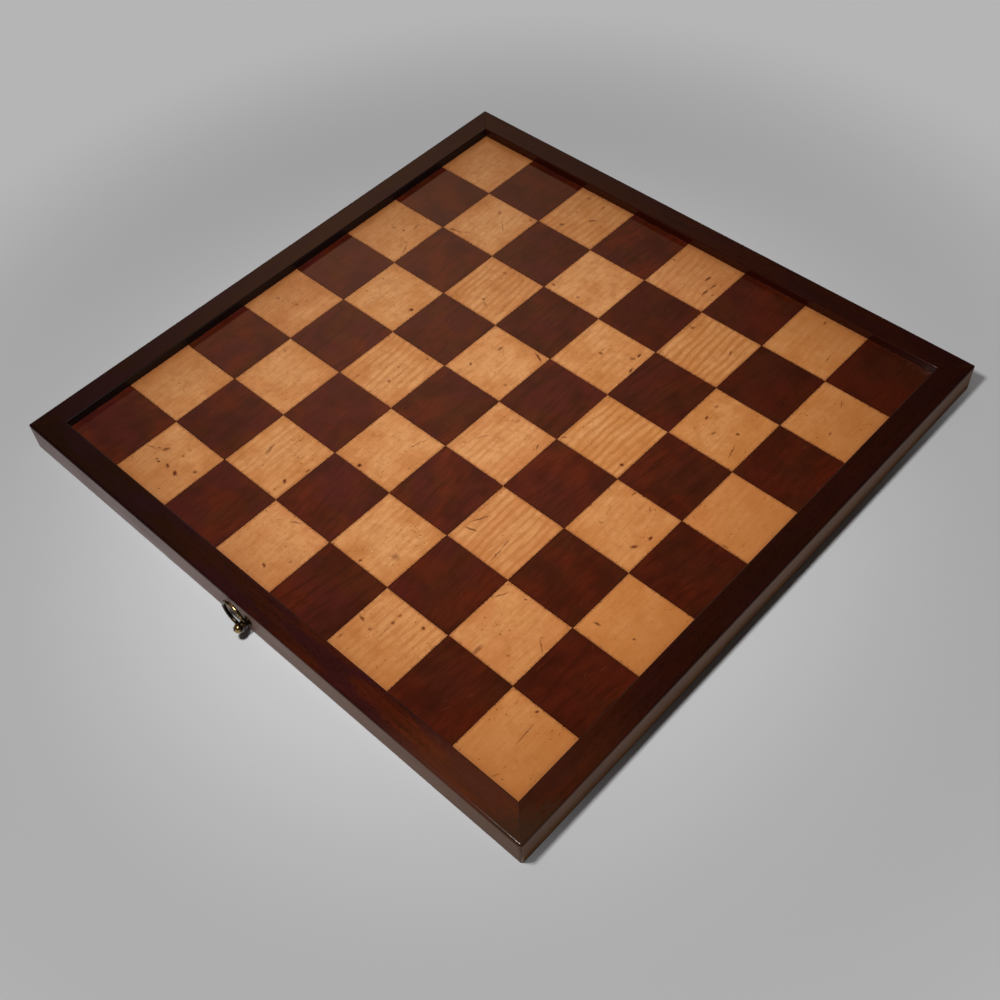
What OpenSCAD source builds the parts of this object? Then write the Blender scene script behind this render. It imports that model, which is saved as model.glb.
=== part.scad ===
// Draughts and chess board: a raised mitred frame around eight rows of inlaid squares,
// with a small ring hung from a ball-ended post in the middle of the front side.
// Origin: centre of the underside. +X runs along the front side, -Y is the front side, +Z is up.

/* [Playing field] */
// Width of one square, joint line to joint line
square_w = 44.5; // [38:0.5:57]
// Thickness of the inlaid squares
square_t = 1.5; // [1:0.1:2.5]
// Width of the dark joint line between two squares
joint_w = 0.3; // [0.2:0.05:0.5]

/* [Ground] */
// Thickness of the ground boards under the squares
ground_t = 12; // [11:0.5:16]
// Thickness of the tongue round the edge of the ground
tongue_t = 4; // [3:0.5:5]
// Depth of that tongue into the frame
tongue_d = 4; // [3:0.5:5]

/* [Frame] */
// Width of the frame rails, seen from above
rail_w = 16; // [15:0.5:26]
// Height of the frame above the squares
rim_h = 5.5; // [4:0.5:8]
// Rounding of the outer top edge of the frame
top_round = 1.5; // [0.5:0.25:2.5]
// Rounding of the inner top edge and the outer bottom edge
small_round = 0.8; // [0.4:0.1:1.2]
// Rounding of the four upright corners of the frame
corner_round = 2; // [1:0.5:4]
// Thickness of the loose tongues hidden in the mitres
key_t = 2.5; // [2:0.25:3.5]
// Length of the loose tongues along the mitre
key_l = 9; // [7:0.5:9]

/* [Hanger] */
// Distance of the hanger from the middle of the front side, positive to the right
hanger_x = 2; // [-20:0.5:20]
// Diameter of the ball on the end of the post
ball_d = 5.4; // [5:0.1:6]
// Diameter of the round stem that the ring passes through
stem_d = 4.4; // [4:0.1:4.8]
// Diameter of the collar against the frame
collar_d = 6.6; // [5.5:0.1:8]
// Thickness of the collar
collar_t = 0.5; // [0.4:0.1:1]
// Core diameter of the screw on the back of the post
screw_d = 2.8; // [2.2:0.1:3.2]
// Height of the screw's thread over its core
thread_h = 0.4; // [0.3:0.05:0.6]
// Distance from one thread to the next
thread_pitch = 1.6; // [1.4:0.1:2]
// Outside diameter of the ring
ring_d = 18.8; // [17:0.2:20]
// Diameter of the ring's wire
wire_d = 2; // [1.6:0.1:2.2]

/* [Fits] */
// Clearance of the glued joints, each side
glue_gap = 0.1; // [0.05:0.05:0.2]
// Clearance of the screw in the frame, each side
turn_gap = 0.05; // [0.02:0.01:0.1]
// Clearance of the ring's wire in the eye, all round
eye_gap = 0.3; // [0.25:0.05:0.4]
// Clearance between the ring and the surface the board lies on
floor_gap = 0.1; // [0.1:0.05:0.5]

/* [Hidden] */
$fn = 64;
over = 1;
count = 8;
field = count * square_w / 2;
outer = field + rail_w;
squares_z = ground_t + square_t;
board_h = squares_z + rim_h;
tongue_z = (ground_t - tongue_t) / 2;
board_split = field / 3;
key_w = 8;
wire_r = wire_d / 2;
ring_r = ring_d / 2 - wire_r;
eye_z = ring_d / 2 + floor_gap;
eye_r = wire_r + eye_gap;
land = 0.15;
eye_half = stem_d / 2 + land;
mouth_r = ring_r - sqrt(pow(ring_r - eye_r, 2) - pow(eye_half, 2));
eye_out = turn_gap + collar_t + land + mouth_r;
ball_out = eye_out + wire_r + eye_gap + ball_d / 2;
tip_wood = 2;
screw_l = rail_w - tongue_d - tip_wood;
tip_l = 2;
threads = floor((screw_l - tip_l - thread_h) / thread_pitch);

// Ground in one piece: a flat board with a tongue all round its edge
module ground_blank() {
    edge = field - glue_gap;
    reach = field + tongue_d;
    translate([-edge, -edge, 0]) cube([2 * edge, 2 * edge, ground_t]);
    translate([-reach, -reach, tongue_z]) cube([2 * reach, 2 * reach, tongue_t]);
}

// One of the boards the ground is glued up from, between two heights along Y
module ground_board(y_low, y_high) {
    color("#7a5233")
    intersection() {
        ground_blank();
        translate([-outer, y_low, -over]) cube([2 * outer, y_high - y_low, ground_t + 2 * over]);
    }
}

// The four squares of one shade in one row; first is the column of the leftmost one
module row_squares(row, first) {
    side = square_w - joint_w;
    for (k = [0 : count / 2 - 1])
        translate([
            (first + 2 * k) * square_w - field + joint_w / 2,
            (row - 1) * square_w - field + joint_w / 2,
            ground_t
        ])
        cube([side, side, square_t]);
}

module light_squares(row) {
    color("#c98c55") row_squares(row, row % 2);
}

module dark_squares(row) {
    color("#4b1e14") row_squares(row, 1 - row % 2);
}

// What is cut from a corner to leave it round
module corner_cut(r) {
    difference() {
        square(r + over);
        circle(r);
    }
}

// Section of a rail: inner face on the left, outer face on the right
module rail_section() {
    difference() {
        square([rail_w, board_h]);
        translate([rail_w - top_round, board_h - top_round]) corner_cut(top_round);
        translate([rail_w - small_round, small_round]) mirror([0, 1]) corner_cut(small_round);
        translate([small_round, board_h - small_round]) mirror([1, 0]) corner_cut(small_round);
        translate([-over, tongue_z - glue_gap])
            square([over + tongue_d + glue_gap, tongue_t + 2 * glue_gap]);
    }
}

// Plan of one rail: a trapezium cut back from the mitres, with its two outer corners rounded
module rail_plan() {
    turn = outer - corner_round;
    difference() {
        polygon([[0, glue_gap], [outer + over, outer + over + glue_gap], [-outer - over, outer + over + glue_gap]]);
        translate([turn, turn]) corner_cut(corner_round);
        mirror([1, 0]) translate([turn, turn]) corner_cut(corner_round);
    }
}

// Loose tongue across one mitre, and the slot it sits in when grown
module mitre_key(grow) {
    middle = field + rail_w / 2;
    translate([middle, middle, ground_t])
    rotate([0, 0, 45])
    cube([key_l + 2 * grow, key_w + 2 * grow, key_t + 2 * grow], center = true);
}

// A rail in the place of the back one
module rail() {
    color("#3c1c12")
    difference() {
        intersection() {
            translate([0, field, 0])
            rotate([90, 0, 90])
            linear_extrude(height = 2 * outer, center = true)
            rail_section();
            linear_extrude(height = board_h) rail_plan();
        }
        mitre_key(glue_gap);
        mirror([1, 0, 0]) mitre_key(glue_gap);
    }
}

module frame_rail_back() {
    rail();
}

module frame_rail_left() {
    rotate([0, 0, 90]) rail();
}

module frame_rail_right() {
    rotate([0, 0, 270]) rail();
}

// The front rail also takes the screw of the hanger
module frame_rail_front() {
    color("#3c1c12")
    difference() {
        rotate([0, 0, 180]) rail();
        hanger_place() screw(turn_gap);
    }
}

module mitre_tongues() {
    color("#8a6a3f")
    for (a = [0 : 90 : 270])
        rotate([0, 0, a]) mitre_key(0);
}

// Puts a piece drawn upright on the front face, its +Z pointing out of the frame
module hanger_place() {
    translate([hanger_x, -outer, eye_z]) rotate([90, 0, 0]) children();
}

// Screw of the post, pointing down from the face of the frame, or its hole when grown
module screw(grow) {
    core = screw_d / 2 + grow;
    crest = core + thread_h;
    root = thread_h + grow;
    rotate_extrude()
    polygon(concat(
        [[0, grow > 0 ? over : 0], [core, grow > 0 ? over : 0]],
        [for (k = [0 : threads - 1]) let (z = -thread_pitch * (k + 1))
            each [[core, z + root], [crest, z], [core, z - root]]],
        [[core, -screw_l + tip_l], [0.4 + grow, -screw_l - grow], [0, -screw_l - grow]]
    ));
}

// Eye through the stem: narrowest in the middle, flared to follow the bend of the ring
module eye() {
    rotate_extrude()
    difference() {
        translate([0, -eye_half]) square([ring_r, 2 * eye_half]);
        translate([ring_r, 0]) circle(ring_r - eye_r);
    }
}

module hanger_post() {
    color("#6b5a36")
    hanger_place()
    difference() {
        union() {
            translate([0, 0, turn_gap]) screw(0);
            translate([0, 0, turn_gap]) cylinder(h = collar_t, d = collar_d);
            translate([0, 0, turn_gap]) cylinder(h = ball_out - turn_gap, d = stem_d);
            translate([0, 0, ball_out]) sphere(d = ball_d);
        }
        translate([0, 0, eye_out]) rotate([90, 0, 0]) eye();
    }
}

module hanging_ring() {
    color("#6b5a36")
    translate([hanger_x - ring_r, -outer - eye_out, eye_z])
    rotate([90, 0, 0])
    rotate_extrude()
    translate([ring_r, 0]) circle(wire_r);
}

ground_board(-outer, -board_split - glue_gap / 2);  // ground_board_front
ground_board(-board_split + glue_gap / 2, board_split - glue_gap / 2);  // ground_board_middle
ground_board(board_split + glue_gap / 2, outer);  // ground_board_back
light_squares(1);  // light_squares_row_1
light_squares(2);  // light_squares_row_2
light_squares(3);  // light_squares_row_3
light_squares(4);  // light_squares_row_4
light_squares(5);  // light_squares_row_5
light_squares(6);  // light_squares_row_6
light_squares(7);  // light_squares_row_7
light_squares(8);  // light_squares_row_8
dark_squares(1);  // dark_squares_row_1
dark_squares(2);  // dark_squares_row_2
dark_squares(3);  // dark_squares_row_3
dark_squares(4);  // dark_squares_row_4
dark_squares(5);  // dark_squares_row_5
dark_squares(6);  // dark_squares_row_6
dark_squares(7);  // dark_squares_row_7
dark_squares(8);  // dark_squares_row_8
frame_rail_front();
frame_rail_back();
frame_rail_left();
frame_rail_right();
mitre_tongues();
hanger_post();
hanging_ring();
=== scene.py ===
"""Looks of a draughts and chess board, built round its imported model.

Blender works in metres. The materials work in millimetres of the row frame, where +X runs
along the front side and +Y runs from the front side to the back one.
"""

import math

import bpy
from mathutils import Matrix, Vector


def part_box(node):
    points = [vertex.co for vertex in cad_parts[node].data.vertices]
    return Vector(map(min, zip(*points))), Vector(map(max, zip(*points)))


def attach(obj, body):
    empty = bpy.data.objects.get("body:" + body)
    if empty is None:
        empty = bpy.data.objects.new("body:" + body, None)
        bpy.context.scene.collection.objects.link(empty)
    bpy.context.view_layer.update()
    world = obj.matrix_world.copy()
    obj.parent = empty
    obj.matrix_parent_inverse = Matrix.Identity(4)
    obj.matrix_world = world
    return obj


MM = 0.001
ROWS = 8

# The glue in the mitres, in millimetres
GLUE_WIDTH = 0.12
GLUE_DEPTH = 5.0

# The rounding of the squares' edges, in millimetres, and from how sharp an edge on, in degrees
SOFT_EDGE = 0.2
SHARP_ANGLE = 50

# How far the ring and the ball are bright, rubbed by hands and in painted highlight, in millimetres
BRIGHT_REACH = 6.0

# Camera, from the lines of the board in the photograph
CAMERA_PLACE = (0.3647, -0.3493, 0.5656)
CAMERA_RIGHT = (0.7314, 0.67996, -0.0521)
CAMERA_UP = (-0.5133, 0.5992, 0.6144)
CAMERA_LENS = 46.255
CAMERA_SENSOR = 36.0

# Colours as they look on the screen, 0 to 255
LIGHT_WOOD = (203, 139, 82)
LIGHT_WOOD_PINK = (201, 134, 86)
LIGHT_WOOD_PALE = (212, 154, 101)
LIGHT_WOOD_DEEP = (168, 105, 55)
# Light wood in painted shade, towards the right of the board
LIGHT_WOOD_SHADED = (192, 118, 54)
PIT = (76, 20, 0)
# Stains; on the light squares along the rails, this colour is also painted shade
STAIN_AND_SHADE = (142, 84, 48)
DARK_WOOD = (91, 31, 13)
DARK_WOOD_OLIVE = (77, 32, 13)
DARK_WOOD_PURPLE = (77, 25, 22)
DARK_WOOD_DEEP = (46, 14, 5)
FRAME_WOOD = (75, 27, 12)
FRAME_WOOD_PURPLE = (36, 10, 22)
FRAME_WOOD_DEEP = (28, 10, 4)
PORE = (12, 4, 2)
FRAME_TIP = (58, 39, 27)
FRAME_SIDE = (122, 79, 38)
# Grey of a side that mirrors the pale floor: a painted reflection
FRAME_SIDE_REFLECTION = (160, 140, 138)
FRAME_SIDE_DEEP = (110, 69, 24)
GROUND_WOOD = (146, 104, 66)
GROUND_WOOD_DEEP = (104, 70, 42)
BRASS = (206, 174, 120)
BRASS_TARNISH = (40, 31, 23)
GLUE = (30, 14, 8)
SCRATCH = (160, 84, 62)
FLOOR = (202, 205, 210)
BACKDROP = (181, 181, 182)

# How strongly polished wood shines: the squares, and the older polish of the frame
SQUARE_IOR = 1.5
FRAME_IOR = 1.35

# The floor: half its side, in metres. In millimetres: how far it reaches under the board, how
# far it lies below it, and between which distances from the middle it turns into the backdrop
FLOOR_HALF = 4.0
FLOOR_UNDER_BOARD = 1.0
FLOOR_GAP = 0.05
FLOOR_FADE = (200.0, 450.0)

# The lamp, in metres, degrees and watts
LAMP_PLACE = (0.05, -0.3, 0.65)
LAMP_AIM = (0.015, 0.08, 0.0)
LAMP_SIZE = 0.1
LAMP_SPREAD = 100
LAMP_POWER = 1.7
LAMP_COLOUR = (1.0, 0.97, 0.93)

# Light of the room, linear. It falls from one strength to the other between those two heights,
# where 1 is straight up. The glow is a soft blob towards the back left
ROOM = (1.0, 0.97, 0.93, 1.0)
ROOM_HEIGHTS = (0.03, 0.35)
ROOM_STRENGTHS = (0.6, 0.015)
GLOW = (0.8, 0.44, 0.26, 1.0)
GLOW_WAY = (-0.612, 0.462, 0.642)
GLOW_NARROWNESS = 45.0

# Each rail. "turn" is where along it, in millimetres, its top starts and ends to change from
# one share of pale wood to the other, "pale". "purple" is the share of purplish wood, and "worn"
# that of rubbed wood towards the corner between the front and the right rail. "wall" and
# "wall_rough" are the colour and the roughness of the wall above the squares; that colour is
# painted shade, darkest on the left rail. "side" holds the colours of the outer side, from end
# to end; its grey on the front rail is a painted reflection of the pale floor
RAILS = {
    "front": {"turn": (-120, 150), "pale": (0.03, 0.95), "purple": 0.6, "worn": 0.16,
              "wall": (33, 8, 3), "wall_rough": 0.2, "side": (FRAME_SIDE_REFLECTION, FRAME_SIDE_DEEP)},
    "right": {"turn": (-60, -190), "pale": (0.2, 0.65), "purple": 0.2, "worn": 0.05,
              "wall": (33, 8, 3), "wall_rough": 0.2, "side": (FRAME_SIDE, FRAME_SIDE)},
    "back": {"turn": (-190, 190), "pale": (0.2, 0.3), "purple": 0.35, "worn": 0.0,
             "wall": (40, 8, 3), "wall_rough": 0.1, "side": (FRAME_SIDE, FRAME_SIDE)},
    "left": {"turn": (-190, 190), "pale": (0.08, 0.12), "purple": 0.7, "worn": 0.0,
             "wall": (14, 3, 1), "wall_rough": 0.5, "side": (FRAME_SIDE, FRAME_SIDE)},
}

# Each ground board: where its grain starts, in millimetres, how far it leans, in radians, and
# its share of dark wood
GROUND = {"front": (0.0, 0.02, 0.35), "middle": (400.0, -0.04, 0.0), "back": (900.0, 0.01, 0.2)}

# Numbers that give the squares of each shade their own chances, and the shift, in millimetres,
# that cuts each square from its own place in the wood
LIGHT_SEED = 3.0
DARK_SEED = 7.0
SQUARES_APART = 317.0

# Ripple figure: millimetres from one ripple to the next, and how far they wander, in radians
RIPPLE_PITCH = 4.8
RIPPLE_WANDER = 8.0

# Columns of light squares cut from strongly figured strips, and how strong the figure is
FIGURED_COLUMNS = {2: 0.4, 4: 0.2, 5: 0.62, 6: 0.06}

# Worm holes, dents, cracks and stains of the light squares, in millimetres:
# x, y, length, width, degrees from +X, strength
BLEMISHES = (
    # row 1
    (-103, -158.5, 4.5, 2.4, -25, 0.95), (-110.5, -157.9, 4, 1.8, -30, 0.9),
    (-117.1, -159.1, 2.2, 1.8, 0, 0.8), (-119.6, -158.5, 1.5, 1.5, 0, 0.8),
    (-121.1, -150.6, 4.5, 2, 60, 0.7), (-124.9, -152.5, 1.8, 1.5, 0, 0.65),
    (-128.6, -154.8, 7, 1.2, 15, 0.5), (-109.5, -147.5, 1.5, 1.2, 0, 0.85),
    (-94.6, -150.4, 3, 1.8, 60, 0.8), (-109.9, -141.9, 3, 2, 0, 0.3),
    (-24.2, -136.9, 6, 1.4, 30, 0.55), (-33, -141.6, 1.5, 1.2, 0, 0.6),
    (-42.4, -142.2, 2, 1.2, 0, 0.5), (-6.5, -156.2, 2.5, 1.5, 70, 0.45),
    (-15.5, -166.9, 3, 1.8, -30, 0.85), (76.5, -139, 2.4, 1.8, -40, 0.85),
    (62.1, -141.5, 2, 1.4, 80, 0.7), (62.2, -146.9, 2.5, 1.6, 80, 0.75),
    (63, -153, 12, 0.7, 90, 0.4), (56.2, -157.2, 2.5, 2, 40, 0.6),
    (48.4, -155.4, 4.5, 1.6, -15, 0.75), (47.5, -169.8, 4, 0.9, 85, 0.6),
    (155.4, -148.8, 14, 0.7, 93, 0.6), (151.9, -136.2, 2.5, 1.4, 40, 0.8),
    (159.4, -173.8, 4, 1, 60, 0.4), (141, -138.8, 4, 0.8, 95, 0.35),
    # row 2
    (-149.9, -115, 2.5, 0.8, -35, 0.5), (-74.9, -111.9, 9, 2.2, 105, 0.55),
    (-50.8, -121.5, 3.6, 1.8, -45, 0.9), (-53.2, -106.9, 3, 1, 20, 0.5),
    (-46.5, -108, 3, 1.6, 80, 0.6), (33.8, -117.2, 5.5, 4.2, 10, 0.45), (33, -118, 2.6, 2, 0, 0.5),
    (33.8, -100.4, 4, 1, 0, 0.3), (21, -131, 2.2, 1.6, 90, 0.75), (106, -129.8, 6, 2.8, 90, 0.55),
    (92.5, -98.1, 9, 0.8, 60, 0.6), (128.8, -107.5, 9, 0.9, -42, 0.6),
    (125.6, -103.6, 2.4, 0.9, 30, 0.5), (104, -91.9, 2, 1, 20, 0.7), (120, -122.5, 2, 1.6, 0, 0.4),
    # row 3
    (-27, -86.3, 2.7, 2.6, 0, 1.0), (-13.2, -53.6, 13, 0.8, 74, 0.5), (-118, -87.3, 2, 1, 0, 0.5),
    (-128, -53.8, 3, 2.2, 0, 0.3), (50.4, -69.4, 9.5, 1, 62, 0.8), (51.6, -77.5, 7, 1.3, 17, 0.8),
    (72.2, -72.5, 7, 0.8, 95, 0.6), (73.4, -81, 10, 0.8, 93, 0.75), (46.5, -62.5, 8, 0.7, 88, 0.35),
    (141.2, -79, 4, 1.4, 12, 0.75), (161, -74, 1.8, 1.6, 0, 0.75),
    # row 4
    (-166.5, -25.9, 3, 2.4, 0, 0.5), (-153, -22.5, 2, 1.8, 0, 0.5), (-150.5, -15.6, 3, 2, 80, 0.3),
    (-61.1, -30.3, 2, 1.8, 0, 0.75), (-64.9, -18.8, 1.5, 1.2, 0, 0.55),
    (-60, -22.5, 6, 0.8, 85, 0.4), (-56, -2.8, 2.5, 1.5, 0, 0.7), (-88, -4.2, 2.5, 1.2, -40, 0.6),
    (-78.6, -39.4, 3, 1, 70, 0.5), (-61, -40, 5, 1, 85, 0.4), (39.8, -11.2, 4.4, 1, 105, 0.75),
    (11.2, -26.2, 10, 1, 60, 0.4), (18.8, -4.4, 4, 2, 80, 0.35), (6.2, -35.6, 3, 1.5, 20, 0.35),
    (127.9, -19.8, 3.2, 1.8, 95, 0.95), (125, -29.8, 4, 2.2, 50, 0.8), (101, -29, 3, 2, 0, 0.35),
    (102.5, -2, 3, 1, 90, 0.7), (116, -5.2, 4, 1.5, -45, 0.45),
    # row 5
    (-94, 20.9, 2.8, 2.6, 90, 1.0), (-128, 29.2, 1.6, 1.4, 0, 0.5), (-128, 14.9, 1.6, 1.4, 0, 0.5),
    (-28.6, 31.8, 4.5, 1.5, 85, 0.7), (-33.6, 11.1, 3, 1.8, -40, 0.75), (-6.1, 11.8, 3, 2, 0, 0.5),
    (-17.6, 15.1, 2, 1.4, 0, 0.35), (-6.1, 41, 9, 1.1, -22, 0.9), (84.4, 9.2, 2.8, 2.2, 20, 0.9),
    (46.9, 3.8, 3, 1.6, 40, 0.6), (161, 1.6, 4, 1.4, 0, 0.5),
    # row 6
    (-151.1, 70.2, 2, 1.8, 0, 0.65), (-158.6, 68.2, 2.2, 1.8, 0, 0.5),
    (-160.9, 69.5, 1.5, 1.3, 0, 0.5), (-147.4, 78, 6, 1.6, 105, 0.4),
    (-137.6, 58.2, 9, 1, 118, 0.55), (-141.8, 63, 3, 1.5, 0, 0.4), (-71.8, 82.4, 3, 2.2, 0, 0.5),
    (-65.9, 56.5, 2, 1.8, 0, 0.7), (-62, 53.9, 3, 2, -30, 0.5), (38.8, 80.5, 3.6, 1.8, 95, 0.95),
    (37.5, 76.1, 4, 2, 20, 0.6), (20, 67.4, 3.4, 2.2, 0, 0.75), (19, 70.5, 4, 0.8, 85, 0.5),
    (42.6, 68.2, 4.4, 1.4, 95, 0.9), (98.8, 66.8, 3, 1.6, 100, 0.85),
    (98.1, 77.4, 2.4, 1.6, 60, 0.5), (119.5, 68.4, 2.1, 1.9, 0, 0.85),
    (108.8, 60.1, 3.5, 1.6, 80, 0.55), (98.5, 56.8, 3, 1, 90, 0.35),
    (124.8, 55.5, 10, 0.9, 105, 0.65),
    # row 7
    (-114.2, 123.4, 4, 1.6, -40, 0.6), (-103, 114.2, 13, 0.8, -41, 0.45),
    (-93.2, 131, 2.4, 2, 0, 0.55), (-126.8, 91.8, 3.5, 2, 20, 0.8), (-122.4, 92.6, 6, 1.4, 10, 0.6),
    (-117.6, 95.5, 3, 1.2, 50, 0.5), (-41.1, 94.2, 4, 1.4, -15, 0.75), (-22, 95.2, 2, 1.6, 0, 0.6),
    (-41.8, 101.8, 6, 0.7, 100, 0.4), (48.8, 119.2, 2.5, 1.8, 60, 0.7),
    (46.2, 119.5, 4, 0.7, 0, 0.45), (78.5, 116.8, 4.8, 1.2, 112, 0.65),
    (150.6, 124.2, 6, 1, 120, 0.4), (158.5, 101.5, 3.5, 1.2, 95, 0.55),
    # row 8
    (-61.8, 155.8, 4.6, 1.8, 55, 0.85), (-75.5, 156, 2, 1, 80, 0.5),
    (-74.9, 140.5, 3.5, 2.2, 50, 0.65), (-78, 171.8, 3, 2, 60, 0.5),
    (-64.9, 170.5, 3, 1.5, 80, 0.5), (29.6, 159.5, 5, 1.6, 85, 0.85),
    (36.2, 156.1, 6, 1.2, 88, 0.75), (35.6, 148.6, 6, 1.4, 88, 0.85),
    (40.6, 149.5, 3, 1.2, 80, 0.5), (2.5, 159.9, 2.2, 1.8, 0, 0.7), (106.5, 173, 3.5, 1.5, 95, 0.6),
    (124.8, 148.6, 3.5, 1.2, 95, 0.45),
)


def linear(colour):
    """A screen colour, 0 to 255, as Blender's linear RGBA."""
    parts = [c / 255 for c in colour]
    return (*[p / 12.92 if p <= 0.04045 else ((p + 0.055) / 1.055) ** 2.4 for p in parts], 1.0)


class Graph:
    """The nodes of one material or world, written as sums."""

    def __init__(self, owner):
        owner.use_nodes = True
        self.owner = owner
        self.tree = owner.node_tree
        self.tree.nodes.clear()

    def add(self, kind, values, **settings):
        node = self.tree.nodes.new("ShaderNode" + kind)
        for key, value in settings.items():
            setattr(node, key, value)
        for key, value in values.items():
            if isinstance(value, bpy.types.NodeSocket):
                self.tree.links.new(value, node.inputs[key])
            else:
                node.inputs[key].default_value = value
        return node

    def math(self, operation, a, b=0.0, c=0.0):
        return self.add("Math", {0: a, 1: b, 2: c}, operation=operation).outputs[0]

    def times(self, a, b):
        return self.math("MULTIPLY", a, b)

    def highest(self, values):
        top = values[0]
        for value in values[1:]:
            top = self.math("MAXIMUM", top, value)
        return top

    def vector(self, operation, a, b):
        return self.add("VectorMath", {0: a, 1: b}, operation=operation).outputs[0]

    def moved(self, point, x, y):
        return self.vector("ADD", point, (x, y, 0.0))

    def scaled(self, vector, factor):
        values = {0: vector, "Scale": factor}
        return self.add("VectorMath", values, operation="SCALE").outputs[0]

    def length(self, vector):
        return self.add("VectorMath", {0: vector}, operation="LENGTH").outputs["Value"]

    def join(self, x, y, z=0.0):
        return self.add("CombineXYZ", {0: x, 1: y, 2: z}).outputs[0]

    def split(self, vector):
        return self.add("SeparateXYZ", {0: vector}).outputs[:3]

    def turn(self, vector, angle):
        values = {"Vector": vector, "Angle": angle}
        return self.add("VectorRotate", values, rotation_type="Z_AXIS").outputs[0]

    def ramp(self, value, low, high, to_low=0.0, to_high=1.0):
        """A smooth step of value, from low to high."""
        values = {"Value": value, "From Min": low, "From Max": high,
                  "To Min": to_low, "To Max": to_high}
        return self.add("MapRange", values, interpolation_type="SMOOTHSTEP").outputs[0]

    def mix(self, share, a, b):
        """Colour a turned into colour b by share."""
        a, b = (linear(c) if isinstance(c, tuple) else c for c in (a, b))
        return self.add("Mix", {0: share, 6: a, 7: b}, data_type="RGBA").outputs[2]

    def over(self, colour, tint, *shares):
        """The colour with the tint laid over it once for each share."""
        for share in shares:
            colour = self.mix(share, colour, tint)
        return colour

    def noise(self, point, size, detail=2.0, rough=0.5, warp=0.0):
        """Soft noise, 0 to 1, with blobs of about that size in millimetres."""
        values = {"Vector": point, "Scale": 1 / size, "Detail": detail,
                  "Roughness": rough, "Distortion": warp}
        return self.add("TexNoise", values).outputs[0]

    def fibre(self, point, size, stretch, **more):
        """Noise drawn out along Y by that many times."""
        return self.noise(self.vector("MULTIPLY", point, (1.0, 1 / stretch, 1.0)), size, **more)

    def chance(self, point):
        """Three random numbers that belong to the point."""
        noise = self.add("TexWhiteNoise", {"Vector": point}, noise_dimensions="3D")
        return self.split(noise.outputs[1])

    def place(self):
        """Where the surface is, in millimetres of the row frame."""
        return self.scaled(self.add("TexCoord", {}).outputs["Object"], 1 / MM)

    def bump(self, height, depth):
        """A normal bent by height, 0 to 1, over that depth in millimetres."""
        return self.add("Bump", {"Height": height, "Distance": depth * MM}).outputs[0]

    def material(self, colour, roughness, normal, **more):
        values = {"Base Color": colour, "Roughness": roughness, "Normal": normal, **more}
        return self.finish(self.add("BsdfPrincipled", values))

    def finish(self, shader, kind="OutputMaterial"):
        self.add(kind, {0: shader.outputs[0]})
        return self.owner


def new_material(name):
    return Graph(bpy.data.materials.new(name))


class Square:
    """What a square's material knows about its own square."""

    def __init__(self, g, pitch, seed):
        half = ROWS * pitch / 2
        self.place = g.place()
        self.x, self.y, _ = g.split(self.place)
        from_left, from_front = g.math("ADD", self.x, half), g.math("ADD", self.y, half)
        self.column = g.math("FLOOR", g.math("DIVIDE", from_left, pitch))
        row = g.math("FLOOR", g.math("DIVIDE", from_front, pitch))
        index = g.join(self.column, row, seed)
        self.tone, self.hue, self.lean = g.chance(index)
        self.own = g.vector("ADD", self.place, g.scaled(index, SQUARES_APART))
        in_x = g.math("PINGPONG", from_left, pitch / 2)
        in_y = g.math("PINGPONG", from_front, pitch / 2)
        self.edge = g.math("MINIMUM", in_x, in_y)
        self.tip = g.math("ADD", in_x, in_y)
        middle = g.highest([g.math("ABSOLUTE", self.x), g.math("ABSOLUTE", self.y)])
        self.rail = g.math("SUBTRACT", half, middle)


class Rail:
    """What a rail's material knows about its own rail."""

    def __init__(self, g, side, inner, outer):
        along_x = side in ("front", "back")
        self.outer = outer
        self.place = g.place()
        self.x, self.y, _ = g.split(self.place)
        self.along, across = (self.x, self.y) if along_x else (self.y, self.x)
        self.run = g.turn(self.place, math.pi / 2) if along_x else self.place
        out = g.math("ABSOLUTE", across)
        level = g.math("ABSOLUTE", g.split(g.add("NewGeometry", {}).outputs["Normal"])[2])
        outside = g.math("GREATER_THAN", out, (inner + outer) / 2)
        self.side_face = g.times(g.ramp(level, 0.4, 0.05), outside)
        self.edge = g.times(g.ramp(level, 0.85, 0.55), outside)
        self.wall = g.ramp(out, inner + 1.0, inner + 0.1)
        self.grain = g.fibre(self.run, 0.8, 30, detail=4.0, rough=0.6)
        self.tint = g.fibre(g.moved(self.run, 40.0, 70.0), 8.0, 5, detail=3.0)


def oval(g, point, mark):
    """One blemish, 0 to 1, soft at its rim."""
    x, y, long, wide, angle, strength = mark
    near = g.turn(g.vector("SUBTRACT", point, (x, y, 0.0)), -math.radians(angle))
    away = g.length(g.vector("MULTIPLY", near, (2 / long, 2 / wide, 0.0)))
    return g.ramp(away, 1.5, 0.3, 0.0, strength)


def scattered(g, point, cell, share, wide, long, spread, bend=0.0):
    """Scattered oval marks, 0 to 1, in that share of the cells. They lie along Y, give or take
    spread radians, and bend curves the long ones."""
    values = {"Vector": point, "Scale": 1 / cell, "Randomness": 0.8}
    middle = g.add("TexVoronoi", values, voronoi_dimensions="2D").outputs["Position"]
    there, size, way = g.chance(middle)
    angle = g.math("MULTIPLY_ADD", way, 2 * spread, -spread)
    x, y, _ = g.split(g.turn(g.vector("SUBTRACT", point, middle), angle))
    x = g.math("MULTIPLY_ADD", g.times(y, y), bend, x)
    scale = g.math("MULTIPLY_ADD", size, 0.8, 0.4)
    in_wide = g.math("DIVIDE", x, g.times(scale, wide / 2))
    in_long = g.math("DIVIDE", y, g.times(scale, long / 2))
    away = g.length(g.join(in_wide, in_long))
    return g.times(g.ramp(away, 1.2, 0.4), g.math("LESS_THAN", there, share))


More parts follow.
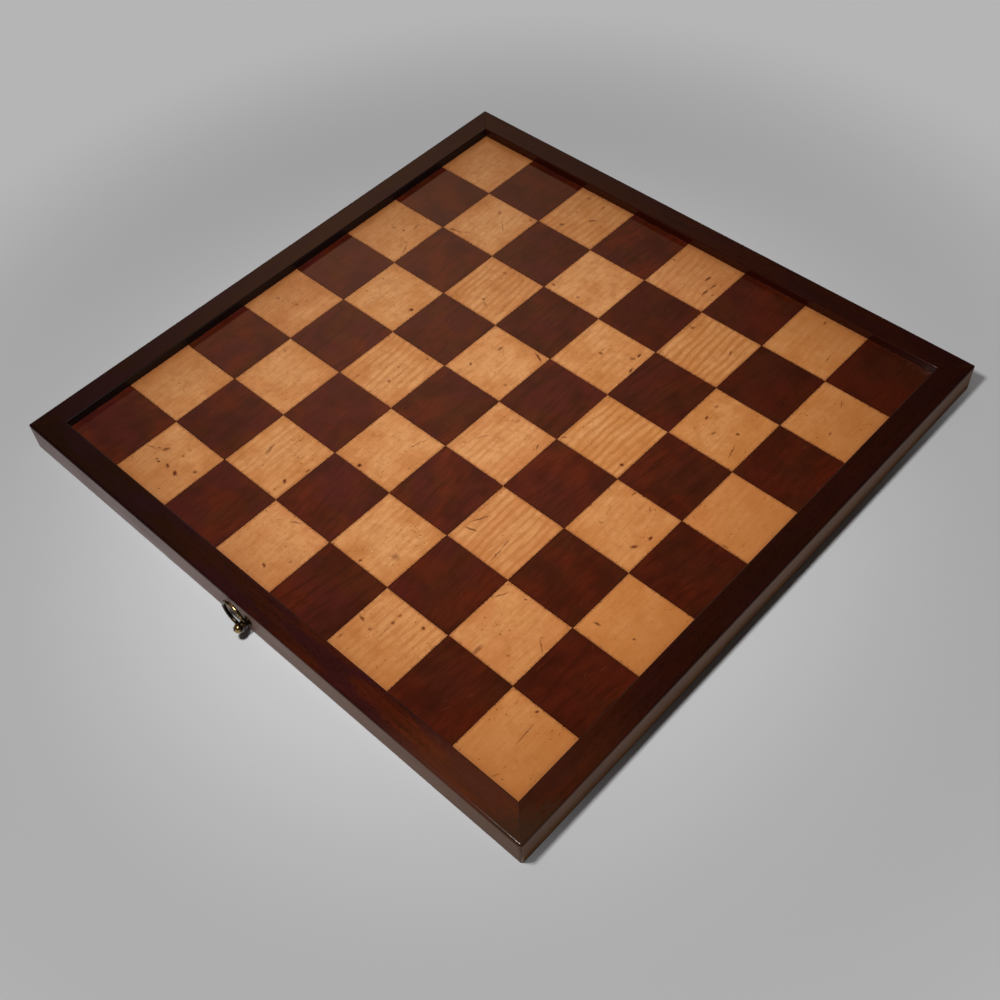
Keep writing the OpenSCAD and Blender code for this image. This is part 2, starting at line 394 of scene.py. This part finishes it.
def ripple(g, s):
    """The share of ripple figure, strongest in the figured columns."""
    leaning = g.turn(s.own, g.math("MULTIPLY_ADD", s.lean, -0.16, 0.02))
    across = g.times(g.split(leaning)[0], 2 * math.pi / RIPPLE_PITCH)
    wander = g.fibre(leaning, 13.0, 2, detail=2.0)
    phase = g.math("MULTIPLY_ADD", wander, RIPPLE_WANDER, across)
    wave = g.ramp(g.math("SINE", phase), -0.5, 0.95)
    wave = g.times(wave, g.ramp(g.fibre(leaning, 9.0, 3), 0.3, 0.55, 0.5, 1.0))
    share = g.math("MULTIPLY_ADD", s.hue, 0.14, 0.08)
    for column, strength in FIGURED_COLUMNS.items():
        here = g.math("COMPARE", s.column, float(column), 0.5)
        share = g.math("MULTIPLY_ADD", here, strength, share)
    share = g.times(share, g.ramp(s.y, -150.0, 60.0, 0.6, 1.0))
    return g.times(wave, share)


def light_colour(g, s, grain, mottle):
    """The colour of sound light wood, with painted shade towards the rails and towards the right.
    """
    broad = g.fibre(s.own, 16.0, 1.4, detail=3.0)
    blotch = g.noise(s.own, 7.0)
    worn = g.math("MULTIPLY_ADD", g.ramp(s.edge, 1.0, 16.0), 0.12, broad)
    colour = g.mix(s.hue, LIGHT_WOOD, LIGHT_WOOD_PINK)
    colour = g.mix(g.times(s.tone, 0.14), colour, LIGHT_WOOD_DEEP)
    colour = g.mix(g.ramp(worn, 0.42, 0.7, 0.0, 0.9), colour, LIGHT_WOOD_PALE)
    colour = g.over(
        colour, LIGHT_WOOD_DEEP,
        g.ramp(worn, 0.5, 0.3, 0.0, 0.4),
        g.ramp(grain, 0.42, 0.7, 0.0, 0.42),
        g.ramp(mottle, 0.45, 0.72, 0.0, 0.36),
        g.ramp(blotch, 0.45, 0.7, 0.0, 0.36),
        # Darker towards the rails over 45 mm: painted shade.
        g.ramp(s.rail, 45.0, 0.0, 0.0, 0.5),
        ripple(g, s),
    )
    # Deeper and more orange towards the right: painted shade.
    return g.mix(g.ramp(s.x, 0.0, 180.0, 0.0, 0.45), colour, LIGHT_WOOD_SHADED)


def light_stains(g, s, mottle):
    """Dirt in the light wood, along its edges and in its corners, 0 to 1."""
    smudges = g.times(g.ramp(g.noise(s.own, 4.5, detail=3.0, rough=0.6), 0.6, 0.75), 0.16)
    ragged_edge = g.math("MULTIPLY_ADD", g.noise(s.own, 1.6, detail=3.0, rough=0.6), -3.0, s.edge)
    rim = g.ramp(ragged_edge, 0.2, -1.6, 0.0, 0.8)
    ends = g.times(g.ramp(s.tip, 7.0, 1.0, 0.0, 0.5), g.ramp(mottle, 0.35, 0.6))
    return g.highest([smudges, rim, ends])


def light_flaws(g, s, marks):
    """What is missing from the light wood, 0 to 1: the marks, small holes and chipped edges."""
    warp = g.add("TexNoise", {"Vector": s.place, "Scale": 0.55, "Detail": 3.0}).outputs[1]
    warp = g.scaled(g.vector("SUBTRACT", warp, (0.5, 0.5, 0.5)), 1.8)
    ragged = g.vector("ADD", s.place, warp)
    clusters = g.ramp(g.noise(s.own, 14.0), 0.5, 0.72, 0.02, 0.4)
    dots = g.times(scattered(g, ragged, 2.2, clusters, 0.6, 1.2, 0.9), 0.6)
    nibbled_edge = g.math("MULTIPLY_ADD", g.noise(s.own, 1.8, rough=0.6), -8.0, s.edge)
    chips = g.ramp(nibbled_edge, -4.2, -5.0, 0.0, 0.6)
    return g.highest([oval(g, ragged, mark) for mark in marks] + [dots, chips])


def polished_square(g, s, colour, roughness, relief):
    """The material of a square, a little uneven under its polish."""
    height = g.math("MULTIPLY_ADD", g.noise(s.own, 15.0), 1.2, relief)
    return g.material(colour, roughness, g.bump(height, 0.08), IOR=SQUARE_IOR)


def light_wood(pitch, row):
    """Honey-coloured wood with ripple figure. Each row has its own blemishes."""
    g = new_material(f"light_wood_{row}")
    s = Square(g, pitch, LIGHT_SEED)
    low = (row - 1 - ROWS / 2) * pitch
    grain = g.fibre(s.own, 0.8, 22, detail=4.0, rough=0.6)
    mottle = g.noise(s.own, 2.2, detail=3.0, rough=0.6)
    flaws = light_flaws(g, s, [mark for mark in BLEMISHES if low < mark[1] < low + pitch])
    # A strip of the light squares along the rails darkens with the stain colour: painted shade.
    rail_shade = g.ramp(s.rail, 5.0, 1.0, 0.0, 0.35)
    colour = g.over(light_colour(g, s, grain, mottle), STAIN_AND_SHADE, light_stains(g, s, mottle), rail_shade)
    colour = g.mix(flaws, colour, PIT)
    relief = g.math("MULTIPLY_ADD", flaws, -0.5, g.times(grain, 0.1))
    return polished_square(g, s, colour, g.ramp(grain, 0.3, 0.7, 0.12, 0.16), relief)


def dark_colour(g, s, own, grain, patch):
    """The colour of sound dark wood, with painted shade towards the right and the back."""
    tint = g.noise(g.moved(own, 50.0, 90.0), 26.0)
    shade = g.noise(g.moved(own, 20.0, 30.0), 17.0)
    streak = g.ramp(g.fibre(own, 3.6, 7, detail=4.0, rough=0.6), 0.45, 0.68)
    purple = g.times(g.ramp(tint, 0.42, 0.6), g.ramp(s.x, 160.0, -40.0, 0.2, 1.0))
    colour = g.mix(g.ramp(patch, 0.4, 0.62), DARK_WOOD, DARK_WOOD_OLIVE)
    colour = g.mix(purple, colour, DARK_WOOD_PURPLE)
    return g.over(
        colour, DARK_WOOD_DEEP,
        g.times(s.tone, 0.3),
        g.ramp(shade, 0.42, 0.68, 0.0, 0.5),
        g.times(streak, g.math("MULTIPLY_ADD", s.hue, 0.5, 0.15)),
        g.ramp(grain, 0.42, 0.7, 0.0, 0.42),
        # Darker towards the right and the back: painted shade.
        g.ramp(s.x, 20.0, 180.0, 0.0, 0.2),
        g.ramp(s.y, 60.0, 180.0, 0.0, 0.15),
    )


def dark_wood(pitch):
    """Red-brown wood with faint fibres, in soft patches of red, olive and purple. It has a few
    scratches and some dust along the rails."""
    g = new_material("dark_wood")
    s = Square(g, pitch, DARK_SEED)
    own = g.turn(s.own, g.math("MULTIPLY_ADD", s.lean, 0.3, -0.15))
    grain = g.fibre(own, 0.7, 14, detail=4.0, rough=0.6)
    patch = g.noise(own, 28.0)
    scratches = scattered(g, own, 15.0, 0.25, 0.35, 5.0, 1.2, bend=0.03)
    dusty = g.ramp(g.noise(s.own, 5.0, detail=4.0, rough=0.6), 0.4, 0.65)
    colour = g.mix(g.times(scratches, 0.15), dark_colour(g, s, own, grain, patch), SCRATCH)
    colour = g.mix(g.ramp(s.edge, 1.2, 0.1, 0.0, 0.3), colour, DARK_WOOD_DEEP)
    colour = g.mix(g.times(g.ramp(s.rail, 0.9, 0.2, 0.0, 0.16), dusty), colour, SCRATCH)
    relief = g.math("SUBTRACT", g.times(grain, 0.12), g.times(scratches, 0.4))
    return polished_square(g, s, colour, g.ramp(patch, 0.3, 0.7, 0.1, 0.14), relief)


def rail_colour(g, r, look):
    """The colour of the polished wood of a rail."""
    streak = g.fibre(r.run, 4.0, 10, detail=3.0)
    patch = g.math("SUBTRACT", g.fibre(r.run, 25.0, 3, detail=2.0), 0.5)
    pores = g.ramp(g.fibre(r.run, 0.4, 9, detail=2.0), 0.56, 0.68)
    paler = g.math("MULTIPLY_ADD", patch, 0.3, g.ramp(r.along, *look["turn"], *look["pale"]))
    colour = g.mix(paler, FRAME_WOOD_DEEP, FRAME_WOOD)
    colour = g.mix(g.ramp(r.tint, 0.4, 0.6, 0.0, look["purple"]), colour, FRAME_WOOD_PURPLE)
    colour = g.over(
        colour, FRAME_WOOD_DEEP,
        g.ramp(streak, 0.42, 0.7, 0.0, 0.35),
        g.ramp(r.grain, 0.45, 0.72, 0.0, 0.4),
    )
    return g.mix(g.times(pores, 0.6), colour, PORE)


def rail_wear(g, r, look, colour):
    """The colour, rubbed towards the corner of the front and the right rail, and dull at the
    corner itself. Both change with x - y, which is highest in that corner."""
    mottle = g.noise(r.place, 2.5, detail=3.0, rough=0.6)
    near = g.math("MULTIPLY_ADD", mottle, 40.0, g.math("SUBTRACT", r.x, r.y))
    tip = 2 * r.outer + 20.0
    colour = g.mix(g.ramp(near, tip - 110.0, tip - 50.0, 0.0, look["worn"]), colour, STAIN_AND_SHADE)
    return g.mix(g.ramp(near, tip - 38.0, tip - 10.0, 0.0, 0.85), colour, FRAME_TIP)


def rail_side_colour(g, r, look):
    """The colour of a rail's outer side, where the polish has gone."""
    # On the front rail the side turns grey towards its left end: a painted reflection of the pale
    # floor.
    colour = g.mix(g.ramp(r.along, -r.outer, r.outer), *look["side"])
    in_grain, in_tint = g.ramp(r.grain, 0.4, 0.7, 0.0, 0.3), g.ramp(r.tint, 0.45, 0.7, 0.0, 0.3)
    return g.over(colour, FRAME_WOOD, in_grain, in_tint)


def frame_wood(side, inner, outer):
    """Dark polished wood. Its grain runs along the rail, its outer side is browner, and the
    wall above the squares is darker, in painted shade."""
    look = RAILS[side]
    g = new_material(f"frame_wood_{side}")
    r = Rail(g, side, inner, outer)
    colour = rail_wear(g, r, look, rail_colour(g, r, look))
    colour = g.mix(g.times(r.side_face, 0.9), colour, rail_side_colour(g, r, look))
    # The wall above the squares, in painted shade.
    colour = g.mix(g.times(r.wall, 0.9), colour, look["wall"])
    dull = g.math("MAXIMUM", g.times(r.wall, look["wall_rough"]), g.times(r.edge, 0.5))
    roughness = g.math("MAXIMUM", g.ramp(r.tint, 0.35, 0.65, 0.08, 0.16), dull)
    height = g.math("MULTIPLY_ADD", g.noise(r.run, 14.0), 1.5, g.times(r.grain, 0.1))
    return g.material(colour, roughness, g.bump(height, 0.06), IOR=FRAME_IOR)


def ground_wood(name, joint, shift, lean, deep):
    """Plain softwood, unpolished, with growth rings along X and dirt in the joints, at that
    distance from the middle. shift and lean set one board's grain apart from the next one's,
    and deep is its share of dark wood."""
    g = new_material(name)
    place = g.place()
    from_middle = g.math("ABSOLUTE", g.split(place)[1])
    from_joint = g.math("ABSOLUTE", g.math("SUBTRACT", from_middle, joint))
    run = g.turn(g.moved(place, shift, shift), math.pi / 2 + lean)
    grain = g.fibre(run, 0.8, 50, detail=4.0, rough=0.6)
    rings = g.fibre(run, 6.0, 20, warp=0.6)
    dirt = g.noise(place, 60.0, detail=4.0)
    colour = g.mix(g.ramp(rings, 0.35, 0.65, deep, 0.65 + deep), GROUND_WOOD, GROUND_WOOD_DEEP)
    colour = g.mix(g.ramp(grain, 0.45, 0.75, 0.0, 0.4), colour, GROUND_WOOD_DEEP)
    colour = g.mix(g.ramp(dirt, 0.5, 0.8, 0.0, 0.6), colour, STAIN_AND_SHADE)
    colour = g.mix(g.ramp(from_joint, 0.8, 0.2, 0.0, 0.85), colour, GLUE)
    return g.material(colour, 0.75, g.bump(grain, 0.15))


def aged_brass(name, axis, dull_end, bright_end):
    """Brass, gone brown, but bright towards the second end given on that axis: rubbed by hands,
    and a painted highlight on the ring's top and on the ball.
    """
    g = new_material(name)
    place = g.place()
    # Less tarnish towards the bright end: rubbed by hands, and a painted highlight on the ring's
    # top and the ball.
    rubbed = g.ramp(g.split(place)[axis], dull_end, bright_end)
    spots = g.noise(place, 2.2, detail=3.0, rough=0.6)
    tarnish = g.ramp(g.math("MULTIPLY_ADD", rubbed, -0.12, spots), 0.2, 0.5)
    colour = g.mix(tarnish, BRASS, BRASS_TARNISH)
    roughness = g.ramp(tarnish, 0.0, 1.0, 0.2, 0.3)
    dents = g.bump(g.noise(place, 0.6), 0.02)
    return g.material(colour, roughness, dents, Metallic=1.0)


def old_glue():
    """Dark glue and polish that fill a joint."""
    g = new_material("old_glue")
    specks = g.noise(g.place(), 1.5, detail=3.0)
    colour = g.mix(g.ramp(specks, 0.3, 0.7), GLUE, FRAME_WOOD_DEEP)
    return g.material(colour, 0.6, g.bump(specks, 0.02))


def floor_paint():
    """Plain pale floor that is only there from above. Away from the board the camera sees it
    in the colour of the backdrop."""
    g = new_material("floor_paint")
    paint = g.add("BsdfDiffuse", {"Color": linear(FLOOR)})
    far = g.add("Emission", {"Color": linear(BACKDROP)})
    clear = g.add("BsdfTransparent", {})
    seen = g.add("LightPath", {}).outputs["Is Camera Ray"]
    away = g.times(g.ramp(g.length(g.place()), *FLOOR_FADE), seen)
    above = g.add("MixShader", {0: away, 1: paint.outputs[0], 2: far.outputs[0]})
    below = g.add("NewGeometry", {}).outputs["Backfacing"]
    return g.finish(g.add("MixShader", {0: below, 1: above.outputs[0], 2: clear.outputs[0]}))


def dress(node, material):
    for slot in node.material_slots:
        slot.material = material


def soften(node):
    """Takes the sharpness off a node's edges."""
    bevel = node.modifiers.new("soft_edges", "BEVEL")
    bevel.width = SOFT_EDGE * MM
    bevel.segments = 2
    bevel.limit_method = "ANGLE"
    bevel.angle_limit = math.radians(SHARP_ANGLE)


def dress_squares(nodes):
    """Dresses the 16 nodes of squares and gives the pitch of the squares in millimetres."""
    first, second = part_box("light_squares_row_1")[0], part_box("light_squares_row_2")[0]
    pitch = (second.y - first.y) / MM
    dark = dark_wood(pitch)
    for row in range(1, ROWS + 1):
        for shade, material in (("light", light_wood(pitch, row)), ("dark", dark)):
            node = nodes[f"{shade}_squares_row_{row}"]
            dress(node, material)
            soften(node)
    return pitch


def dress_frame(nodes, pitch):
    inner = ROWS * pitch / 2
    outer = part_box("frame_rail_right")[1].x / MM
    for side in RAILS:
        dress(nodes[f"frame_rail_{side}"], frame_wood(side, inner, outer))


def dress_rest(nodes):
    """Dresses the ground, the tongues and the hanger."""
    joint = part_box("ground_board_middle")[1].y / MM
    for part, look in GROUND.items():
        dress(nodes[f"ground_board_{part}"], ground_wood(f"ground_wood_{part}", joint, *look))
    dress(nodes["mitre_tongues"], ground_wood("tongue_wood", joint, 0.0, math.pi / 4, 0.0))
    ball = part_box("hanger_post")[0].y / MM
    low, high = (corner.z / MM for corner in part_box("hanging_ring"))
    dress(nodes["hanger_post"], aged_brass("post_brass", 1, ball + BRIGHT_REACH, ball))
    dress(nodes["hanging_ring"], aged_brass("ring_brass", 2, low + BRIGHT_REACH, high))


def glue_outline(inner, outer, high):
    """One plate of glue seen from its side, as distances from the middle of the board and
    heights, in millimetres. It stays under the rounded edges of the rails."""
    start, low = inner + 0.3, high - GLUE_DEPTH
    return ((start, low), (outer - 1.0, low), (outer - 1.0, high - 0.6), (outer - 2.0, high - 0.3),
            (inner + 1.0, high - 0.3), (start, high - 0.8))


def fill_mitres(pitch):
    """The glue in the top of the four mitres, as thin upright plates."""
    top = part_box("frame_rail_right")[1]
    outline = glue_outline(ROWS * pitch / 2, top.x / MM, top.z / MM)
    count, aside = len(outline), GLUE_WIDTH / 2 / math.sqrt(2)
    points, faces = [], []
    for quarter in range(4):
        first = len(points)
        turn = Matrix.Rotation(quarter * math.pi / 2, 3, "Z")
        for shift in (aside, -aside):
            points += [turn @ Vector((u + shift, u - shift, z)) * MM for u, z in outline]
        near = list(range(first, first + count))
        far = list(range(first + count, first + 2 * count))
        faces += [near, far[::-1]]
        faces += [(near[k - 1], far[k - 1], far[k], near[k]) for k in range(count)]
    glue = add_mesh("mitre_glue", points, faces, old_glue())
    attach(glue, "board")


def add_mesh(name, points, faces, material):
    mesh = bpy.data.meshes.new(name)
    mesh.from_pydata(points, [], faces)
    mesh.materials.append(material)
    thing = bpy.data.objects.new(name, mesh)
    link(thing)
    return thing


def link(thing):
    bpy.context.scene.collection.objects.link(thing)


def make_camera():
    right, up = Vector(CAMERA_RIGHT).normalized(), Vector(CAMERA_UP).normalized()
    turn = Matrix((right, up, right.cross(up))).transposed().to_4x4()
    data = bpy.data.cameras.new("camera")
    data.lens = CAMERA_LENS
    data.sensor_width = CAMERA_SENSOR
    camera = bpy.data.objects.new("camera", data)
    camera.matrix_world = Matrix.Translation(CAMERA_PLACE) @ turn
    link(camera)
    bpy.context.scene.camera = camera


def make_floor():
    """A floor with an opening under the board, so that the light from below reaches it."""
    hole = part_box("frame_rail_right")[1].x - FLOOR_UNDER_BOARD * MM
    ways = ((-1, -1), (1, -1), (1, 1), (-1, 1))
    corners = [(x * size, y * size, 0) for size in (FLOOR_HALF, hole) for x, y in ways]
    faces = [(k, (k + 1) % 4, (k + 1) % 4 + 4, k + 4) for k in range(4)]
    floor = add_mesh("floor", corners, faces, floor_paint())
    floor.location.z = -FLOOR_GAP * MM


def make_lamp():
    """A round lamp above the front side of the board."""
    data = bpy.data.lights.new("key_lamp", "AREA")
    data.shape = "DISK"
    data.size = LAMP_SIZE
    data.spread = math.radians(LAMP_SPREAD)
    data.energy = LAMP_POWER
    data.color = LAMP_COLOUR
    lamp = bpy.data.objects.new("key_lamp", data)
    lamp.location = LAMP_PLACE
    lamp.rotation_mode = "QUATERNION"
    lamp.rotation_quaternion = (Vector(LAMP_AIM) - Vector(LAMP_PLACE)).to_track_quat("-Z", "Y")
    link(lamp)


def make_room():
    """A dark room, pale near the ground, with one soft warm glow at the back left. The camera
    itself sees a plain pale backdrop."""
    world = bpy.data.worlds.new("room")
    bpy.context.scene.world = world
    g = Graph(world)
    way = g.add("TexCoord", {}).outputs["Generated"]
    height = g.split(way)[2]
    near = g.add("VectorMath", {0: way, 1: GLOW_WAY}, operation="DOT_PRODUCT").outputs["Value"]
    glow = g.math("EXPONENT", g.math("MULTIPLY_ADD", near, GLOW_NARROWNESS, -GLOW_NARROWNESS))
    fading = g.ramp(height, *ROOM_HEIGHTS, *ROOM_STRENGTHS)
    walls = g.add("Background", {"Color": ROOM, "Strength": fading})
    lamp = g.add("Background", {"Color": GLOW, "Strength": glow})
    room = g.add("AddShader", {0: walls.outputs[0], 1: lamp.outputs[0]})
    backdrop = g.add("Background", {"Color": linear(BACKDROP)})
    seen = g.add("LightPath", {}).outputs["Is Camera Ray"]
    both = g.add("MixShader", {0: seen, 1: room.outputs[0], 2: backdrop.outputs[0]})
    g.finish(both, "OutputWorld")


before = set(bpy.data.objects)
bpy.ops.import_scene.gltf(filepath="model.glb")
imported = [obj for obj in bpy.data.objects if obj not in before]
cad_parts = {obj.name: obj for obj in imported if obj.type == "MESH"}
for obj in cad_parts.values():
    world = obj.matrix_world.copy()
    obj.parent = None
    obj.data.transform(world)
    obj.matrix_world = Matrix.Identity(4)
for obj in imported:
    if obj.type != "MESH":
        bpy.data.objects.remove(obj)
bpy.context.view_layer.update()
make_camera()
make_floor()
make_room()
make_lamp()
field_pitch = dress_squares(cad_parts)
dress_frame(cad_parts, field_pitch)
dress_rest(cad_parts)
fill_mitres(field_pitch)
bpy.context.scene.view_settings.view_transform = "Standard"
